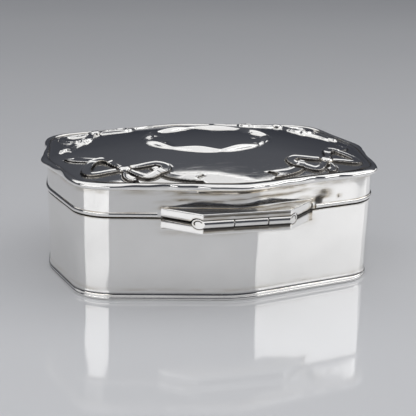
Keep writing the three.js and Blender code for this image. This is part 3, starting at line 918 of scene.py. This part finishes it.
def dome(plan, share):
    """Height of the plain dome at plan points, each on the ring at a share of the seat's outline."""
    oval = (plan[:, 0] / seat_half[0]) ** 2 + (plan[:, 1] / seat_half[1]) ** 2
    return TOP_EDGE + DOME_RISE * (1 - share ** 4 - oval * (1 - share ** 2))


def dome_rings(shares):
    """Plan points, heights and shares of rings that are shares of the seat's outline."""
    plan = np.concatenate([seat * share for share in shares])
    share = np.repeat(shares, len(seat))
    return plan, dome(plan, share), share


# Rings of the top as shares of the seat's outline, closest where the ribbons lie
upper_shares = np.concatenate([
    np.linspace(0.05, 0.34, 8, endpoint=False),
    np.linspace(0.34, 0.45, 30, endpoint=False),
    np.linspace(0.45, 0.54, 8, endpoint=False),
    np.linspace(0.54, 1, 120),
])
lower_shares = np.concatenate([np.linspace(0.05, 0.3, 5, endpoint=False), np.linspace(0.3, 1, 84)])
upper_plan, upper_height, upper_share = dome_rings(upper_shares)
lower_plan, lower_height, lower_share = dome_rings(lower_shares)
upper_relief = emboss(upper_plan, OUTER_EDGE)
lower_relief = emboss(lower_plan, INNER_EDGE)
settle = smooth(1.0, 0.985, upper_share)
upper_height = upper_height + upper_relief.height * settle
pressed = INNER_RISE_SHARE * lower_relief.height * smooth(1.0, 0.97, lower_share)
lower_height = lower_height - TOP_THICKNESS + pressed

# Brim, from the seat out to the sheet's edge and back on the underside
underside = TOP_EDGE - TOP_THICKNESS
brim_levels = [(-0.9, TOP_EDGE), (-0.4, TOP_EDGE), (0, TOP_EDGE), (0, underside), (-0.6, underside)]
brim = [level_ring(top_points, top_normals, *level) for level in brim_levels]

# Mesh of the top, from the middle of its outside over the brim to the middle of its inside
size = len(seat)
upper_rings = np.column_stack([upper_plan, upper_height]).reshape(-1, size, 3)
lower_rings = np.column_stack([lower_plan, lower_height]).reshape(-1, size, 3)
top_rings = np.concatenate([upper_rings, brim, lower_rings[::-1]])
peak = TOP_EDGE + DOME_RISE
top_vertices, top_faces = sheet(top_rings, (0, 0, peak), (0, 0, peak - TOP_THICKNESS))
first_inside = len(upper_rings) + 3
inside_spans = np.arange(len(top_rings) - 1) >= first_inside
top_second = np.repeat([*inside_spans, False, True], size)

# Marks of the top: painted shadow outlines of the ribbons and painted shade in the groove at the rim
top_painted_shade = np.zeros(len(top_vertices))
# Painted shadow outlines round the ribbons
shadow_outlines = 0.97 * smooth(0.25, 0.65, upper_relief.shadow_outline * settle)
on_long_sides = np.tile(smooth(0.4, 0.9, np.abs(top_normals[:, 1])), len(upper_shares))
brim_start = len(upper_plan)
# Painted shade in the groove at the rim on the long sides, and on the brim
top_painted_shade[:brim_start] = np.maximum(shadow_outlines, on_long_sides * smooth(0.98, 0.988, upper_share))
top_painted_shade[brim_start : brim_start + size] = on_long_sides[:size]
top_painted_shade[brim_start + size : brim_start + 3 * size] = 1
add_piece(
    "embossed_top", "lid_top", top_vertices, top_faces, [silver, gold_wash],
    second=top_second, tarnish_and_painted_shade=top_painted_shade,
)


# Hinge; the leaves' ends slant back from the flat front to the wall
FRONT_Y = AXIS_Y + LEAF_FRONT
SLANT = (FRONT_Y - float(hinge_side(np.array(LEAF_HALF_BACK)))) / (LEAF_HALF_BACK - LEAF_HALF_FRONT)


def leaf_front(x):
    """The leaf's front in y: straight in the middle and slanting back to the wall at both ends."""
    slanted = FRONT_Y - SLANT * (np.abs(x) - LEAF_HALF_FRONT)
    blend = 0.12
    return -blend * np.logaddexp(-FRONT_Y / blend, -slanted / blend)


# Where a leaf's front face gets its painted reflection, dark bands, as shares of the way from its outer edge
# to the trough
FRONT_SHARES = (0.12, 0.42, 0.6, 0.88)


def open_end(x, angle):
    """How much wider the upper leaf's trough is towards the wall, near the slanted ends."""
    return 0.8 * float(smooth(10.5, 13.5, abs(x)) * smooth(1.5, 2.7, angle))


def leaf_piece(name, node, outer_z, seam_z, own_spans, front_reflection_bands):
    """One hinge leaf, lofted along x, with rounded edges and the trough for the knuckles; the last argument
    gives the painted reflection bands, dark marks at FRONT_SHARES of the way from the outer edge to the
    trough."""
    fine = np.linspace(LEAF_HALF_FRONT - 1.2, BARREL_HALF + 0.3, 41)
    steps = [0]
    for start, end in own_spans:
        steps += [start - 0.02, start + 0.02, end - 0.02, end + 0.02]
    xs = np.unique(np.round(np.concatenate([
        np.linspace(-LEAF_HALF_BACK, LEAF_HALF_BACK, 61), fine, -fine, steps,
    ]), 4))
    away = math.copysign(1, outer_z - seam_z)
    loops = []
    for x in xs:
        own = any(start <= x <= end for start, end in own_spans)
        radius = KNUCKLE_RADIUS + (0 if own else KNUCKLE_CLEARANCE)
        front = float(leaf_front(np.array(x)))
        wall = float(hinge_side(np.array(x)))
        front = max(front, wall + 0.001)
        rise = abs(AXIS_Z - seam_z)
        reach = math.sqrt(radius ** 2 - rise ** 2)
        lip = min(max(front - AXIS_Y, -reach), LEAF_FRONT)
        first = math.acos(lip / radius)
        final = math.pi - math.asin(rise / radius)
        deep = wall - LEAF_SINK
        round_off = min(LEAF_ROUNDING, (front - wall) * 0.4)
        # Solder fillet at the wall, rounded outer edge, front face and trough
        section = [
            (deep, outer_z + away * 0.42),
            (wall, outer_z + away * 0.4),
            (wall + min(0.12, round_off), outer_z + away * 0.14),
            (wall + min(0.45, 1.6 * round_off), outer_z),
        ]
        for t in np.linspace(0, math.pi / 2, 5):
            section.append((
                front - round_off * (1 - math.sin(t)),
                outer_z - away * round_off * (1 - math.cos(t)),
            ))
        face_start = section[-1][1]
        trough_start = AXIS_Z + away * radius * math.sin(first)
        front_at = len(section)
        for share in FRONT_SHARES:
            section.append((front, face_start + (trough_start - face_start) * share))
        for angle in np.linspace(first, final, 14):
            wide = radius + open_end(x, angle) * (away > 0)
            y = min(AXIS_Y + wide * math.cos(angle), front)
            z = AXIS_Z + away * wide * math.sin(angle)
            chamfer = SEAM_CHAMFER * float(smooth(0.34, 0.0, abs(z - seam_z))) * (y > front - 0.01)
            section.append((max(y - chamfer, wall + 0.0005), away * max(away * z, away * seam_z)))
        section.append((deep, seam_z))
        loops.append([(x, y, z) for y, z in section])
    loops = np.array(loops)
    count, size = loops.shape[:2]
    vertices = loops.reshape(-1, 3)
    faces = lofted(count, size, closed=False)
    # Leaf marks: warm tarnish at the root on the wall, painted shade in the trough round the knuckles and in
    # the gap at the seam, darker at the -x end
    depth = vertices[:, 1] - hinge_side(vertices[:, 0])
    mark = 0.75 * smooth(2.2, 0.1, depth) * smooth(0.25, 0.05, np.abs(vertices[:, 2] - outer_z))
    from_axis = np.hypot(vertices[:, 1] - AXIS_Y, vertices[:, 2] - AXIS_Z)
    from_seam = np.abs(vertices[:, 2] - seam_z)
    mark = np.maximum(mark, smooth(KNUCKLE_RADIUS + 0.5, KNUCKLE_RADIUS + 0.25, from_axis))
    mark = np.maximum(mark, smooth(0.5, 0.36, from_seam))
    mark = np.maximum(mark, 0.8 * smooth(2.6 - LEAF_HALF_BACK, 0.9 - LEAF_HALF_BACK, vertices[:, 0]))
    # Painted reflection: dark bands on the front face
    facing = smooth(LEAF_HALF_FRONT + 0.1, LEAF_HALF_FRONT - 0.3, np.abs(xs))
    painted_bands = mark.reshape(count, size)[:, front_at : front_at + len(FRONT_SHARES)]
    painted_bands[:] = np.maximum(painted_bands, facing[:, None] * np.array(front_reflection_bands))
    painted_bands[:, -1] = np.maximum(painted_bands[:, -1], smooth(BARREL_HALF - 0.4, BARREL_HALF + 0.2, np.abs(xs)))
    vertices, faces, mark = welded(vertices, faces, mark)
    return add_piece(name, node, vertices, faces, [silver], tarnish_and_painted_shade=mark)


def filed_end(y):
    """The slanted plane of the leaves' ends, in x, that knuckles and pin are filed flush with."""
    return LEAF_HALF_FRONT + (FRONT_Y - y) / SLANT


def turned_piece(name, node, profile, marks, end_shade, hollow=True):
    """A round piece on the hinge's axis from [radius, x] points, cut by the slanted ends; the end marks,
    painted shade, are added on its upper, wall side."""
    profile = np.array(profile, float)
    loops = []
    for angle in np.linspace(0, 2 * math.pi, ROUND_STEPS, endpoint=False):
        y = AXIS_Y + profile[:, 0] * math.cos(angle)
        limit = filed_end(y)
        x = np.clip(profile[:, 1], -limit, limit)
        loops.append(np.column_stack([x, y, AXIS_Z + profile[:, 0] * math.sin(angle)]))
    loops = np.array(loops)
    count, size = loops.shape[:2]
    faces = lofted(count, size, sides=size if hollow else size - 1)
    vertices = loops.reshape(-1, 3)
    above = smooth(-0.4, 0.2, np.cos(np.arange(count) * 2 * math.pi / count - math.radians(120)))
    marks = (marks[None] + above[:, None] * end_shade[None]).ravel()
    if not hollow:
        limit = float(filed_end(AXIS_Y))
        vertices = np.concatenate([vertices, [[-limit, AXIS_Y, AXIS_Z], [limit, AXIS_Y, AXIS_Z]]])
        marks = np.append(marks, [0.1, 0.1])
        for k in range(count):
            first = k * size
            second = (k + 1) % count * size
            faces.append([first, count * size, second])
            faces.append([second + size - 1, count * size + 1, first + size - 1])
    vertices, faces, marks = welded(vertices, faces, marks)
    return add_piece(name, node, vertices, faces, [silver], tarnish_and_painted_shade=marks)


def knuckle_piece(name, node, start, end, bore):
    """One hinge tube from start to end in x, with eased edges and painted shade on its inner ends, in the
    gaps between tubes.
    """
    edge = 0.16
    profile = [
        (bore, start),
        (bore + 0.25, start),
        (KNUCKLE_RADIUS - edge, start),
        (KNUCKLE_RADIUS - edge * 0.3, start + edge * 0.3),
        (KNUCKLE_RADIUS, start + edge),
        (KNUCKLE_RADIUS, start + 0.5),
        (KNUCKLE_RADIUS, end - 0.5),
        (KNUCKLE_RADIUS, end - edge),
        (KNUCKLE_RADIUS - edge * 0.3, end - edge * 0.3),
        (KNUCKLE_RADIUS - edge, end),
        (bore + 0.25, end),
        (bore, end),
    ]
    # Painted shade on the inner ends, in the gaps between tubes
    dark_first = abs(start) < BARREL_HALF
    dark_last = abs(end) < BARREL_HALF
    first = [1, 1, 1, 0.8, 0.3, 0.1] if dark_first else [0.1] * 6
    final = [0.1, 0.3, 0.8, 1, 1, 1] if dark_last else [0.1] * 6
    end_shade = np.array([1, 1] + [0] * 8 + [1, 1])
    return turned_piece(name, node, profile, np.array(first + final), end_shade)


left_span = (LID_KNUCKLE_TO + KNUCKLE_END_GAP, BARREL_HALF)
lid_span = (LID_KNUCKLE_FROM, LID_KNUCKLE_TO)
right_span = (-BARREL_HALF, LID_KNUCKLE_FROM - KNUCKLE_END_GAP)
leaf_piece(
    "lower_leaf", "hinge_leaf_body", BODY_TOP - LEAF_HEIGHT, BODY_TOP, [right_span, left_span],
    (0.3, 0.9, 0.94, 0.9),
)
leaf_piece(
    "upper_leaf", "hinge_leaf_lid", LID_BOTTOM + LEAF_HEIGHT, LID_BOTTOM, [lid_span],
    (0.93, 0.9, 0.4, 0.5),
)
knuckle_piece("knuckle_right", "hinge_knuckle_body_right", *right_span, PIN_RADIUS)
knuckle_piece("knuckle_middle", "hinge_knuckle_lid", *lid_span, PIN_RADIUS + PIN_CLEARANCE)
knuckle_piece("knuckle_left", "hinge_knuckle_body_left", *left_span, PIN_RADIUS)
pin_profile = [(PIN_RADIUS, x) for x in (-BARREL_HALF, -8, 0, 8, BARREL_HALF)]
pin_marks = np.array([0.1, 0.6, 0.6, 0.6, 0.1])
turned_piece("pivot_pin", "hinge_pin", pin_profile, pin_marks, 0 * pin_marks, hollow=False)

# Camera, at the photograph's viewing angle: the object is turned by TURN under a camera that looks along +y
LENS = 103.658
DISTANCE = 385.52
TURN = math.radians(16.021)
ELEVATION = math.radians(16.346)
ROLL = math.radians(1.406)
TARGET = np.array([0.937, 0, 16.789])


def from_photo(vector):
    """A direction or place given as seen by the camera, in the object's frame."""
    x, y, z = vector
    cos, sin = math.cos(-TURN), math.sin(-TURN)
    return np.array([-(x * cos - y * sin), -(x * sin + y * cos), z])


looking = np.array([0, math.cos(ELEVATION), -math.sin(ELEVATION)])
right = np.array([1.0, 0, 0])
up = np.cross(right, looking)
rolled_right = math.cos(ROLL) * right + math.sin(ROLL) * up
rolled_up = -math.sin(ROLL) * right + math.cos(ROLL) * up
camera_data = bpy.data.cameras.new("camera")
camera_data.lens = LENS
camera_data.sensor_width = 36
camera_data.sensor_fit = "HORIZONTAL"
camera_data.clip_start = 0.01
camera = bpy.data.objects.new("camera", camera_data)
bpy.context.collection.objects.link(camera)
axes = [from_photo(rolled_right), from_photo(rolled_up), from_photo(-looking)]
place = from_photo(TARGET - DISTANCE * looking) * MM
pose = np.eye(4)
pose[:3] = np.column_stack([*axes, place])
camera.matrix_world = Matrix(pose.tolist())
bpy.context.scene.camera = camera


# Studio
def soft_light(name, place, aim, width, height, radiance):
    """A rectangular soft light of even radiance, placed and aimed as seen by the camera, in metres."""
    data = bpy.data.lights.new(name, "AREA")
    data.shape = "RECTANGLE"
    data.size = width
    data.size_y = height
    data.energy = radiance * math.pi * width * height
    lamp = bpy.data.objects.new(name, data)
    bpy.context.collection.objects.link(lamp)
    spot = Vector(from_photo(place))
    towards = Vector(from_photo(aim)) - spot
    lamp.rotation_mode = "QUATERNION"
    lamp.rotation_quaternion = towards.to_track_quat("-Z", "Y")
    lamp.location = spot


# Soft lights as name, place, aim, width, height and radiance
LIGHTS = [
    ("back_edge_panel", (0.4, 1.68, 1.54), (0.4, 1.64, 0), 6.4, 0.08, 1.0),
    ("back_low_panel", (0.4, 1.45, 1.54), (0.4, 1.41, 0), 6.4, 0.38, 0.7),
    ("back_panel", (0.4, 0.86, 1.54), (0.4, 0.82, 0), 6.4, 0.8, 0.92),
    ("top_panel", (0, -0.52, 1.54), (0, -0.56, 0), 3.0, 1.9, 0.8),
    ("right_panel", (0.55, -0.06, 0.19), (0, -0.06, 0.16), 0.62, 0.16, 2.0),
    ("right_high_panel", (0.6, -0.06, 0.6), (0, -0.06, 0.4), 0.72, 0.55, 0.5),
    ("right_back_panel", (0.55, 0.45, 0.19), (0, 0.3, 0.16), 0.42, 0.16, 1.0),
    ("left_panel", (-0.38, -0.46, 0.19), (0, 0, 0.16), 0.8, 0.15, 2.05),
    ("left_high_panel", (-0.42, -0.4, 0.55), (0, 0, 0.4), 0.62, 0.5, 0.4),
]
for light in LIGHTS:
    soft_light(*light)

# Dim surroundings, lighter overhead
world = bpy.data.worlds.new("studio")
bpy.context.scene.world = world
world.use_nodes = True
sky = world.node_tree
sky.nodes.clear()
direction = add_node(sky, "ShaderNodeTexCoord").outputs["Generated"]
upright = add_node(sky, "ShaderNodeSeparateXYZ", {0: direction}).outputs["Z"]
shade = ramp(sky, upright, [(0.0, 0.0), (0.45, 0.7), (1.0, 1.0)])
level = mixed(sky, shade, (0.035, 0.038, 0.048, 1), (0.1, 0.105, 0.12, 1))
backdrop = add_node(sky, "ShaderNodeBackground", {"Color": level, "Strength": 1.0})
add_node(sky, "ShaderNodeOutputWorld", {"Surface": backdrop.outputs[0]})

# Pale floor, a square whose half side is given in metres
FLOOR_HALF = 4.0
floor_corners = [(FLOOR_HALF * x, FLOOR_HALF * y, 0) for x, y in ((-1, -1), (1, -1), (1, 1), (-1, 1))]
floor_mesh = bpy.data.meshes.new("floor")
floor_mesh.from_pydata(floor_corners, [], [(0, 1, 2, 3)])
floor = bpy.data.objects.new("floor", floor_mesh)
bpy.context.collection.objects.link(floor)
paint = bpy.data.materials.new("pale_floor")
paint.use_nodes = True
paint_tree = paint.node_tree
paint_tree.nodes.clear()
spread = add_node(paint_tree, "ShaderNodeTexCoord").outputs["Object"]
speckle = add_node(paint_tree, "ShaderNodeTexNoise", {"Vector": spread, "Scale": 6, "Detail": 3})
tone = mixed(paint_tree, speckle.outputs["Fac"], (0.73, 0.74, 0.76, 1), (0.77, 0.77, 0.78, 1))
surface = add_node(
    paint_tree, "ShaderNodeBsdfPrincipled", {"Base Color": tone, "Roughness": 0.07}
)
add_node(paint_tree, "ShaderNodeOutputMaterial", {"Surface": surface.outputs[0]})
floor_mesh.materials.append(paint)

bpy.context.scene.view_settings.view_transform = "Standard"
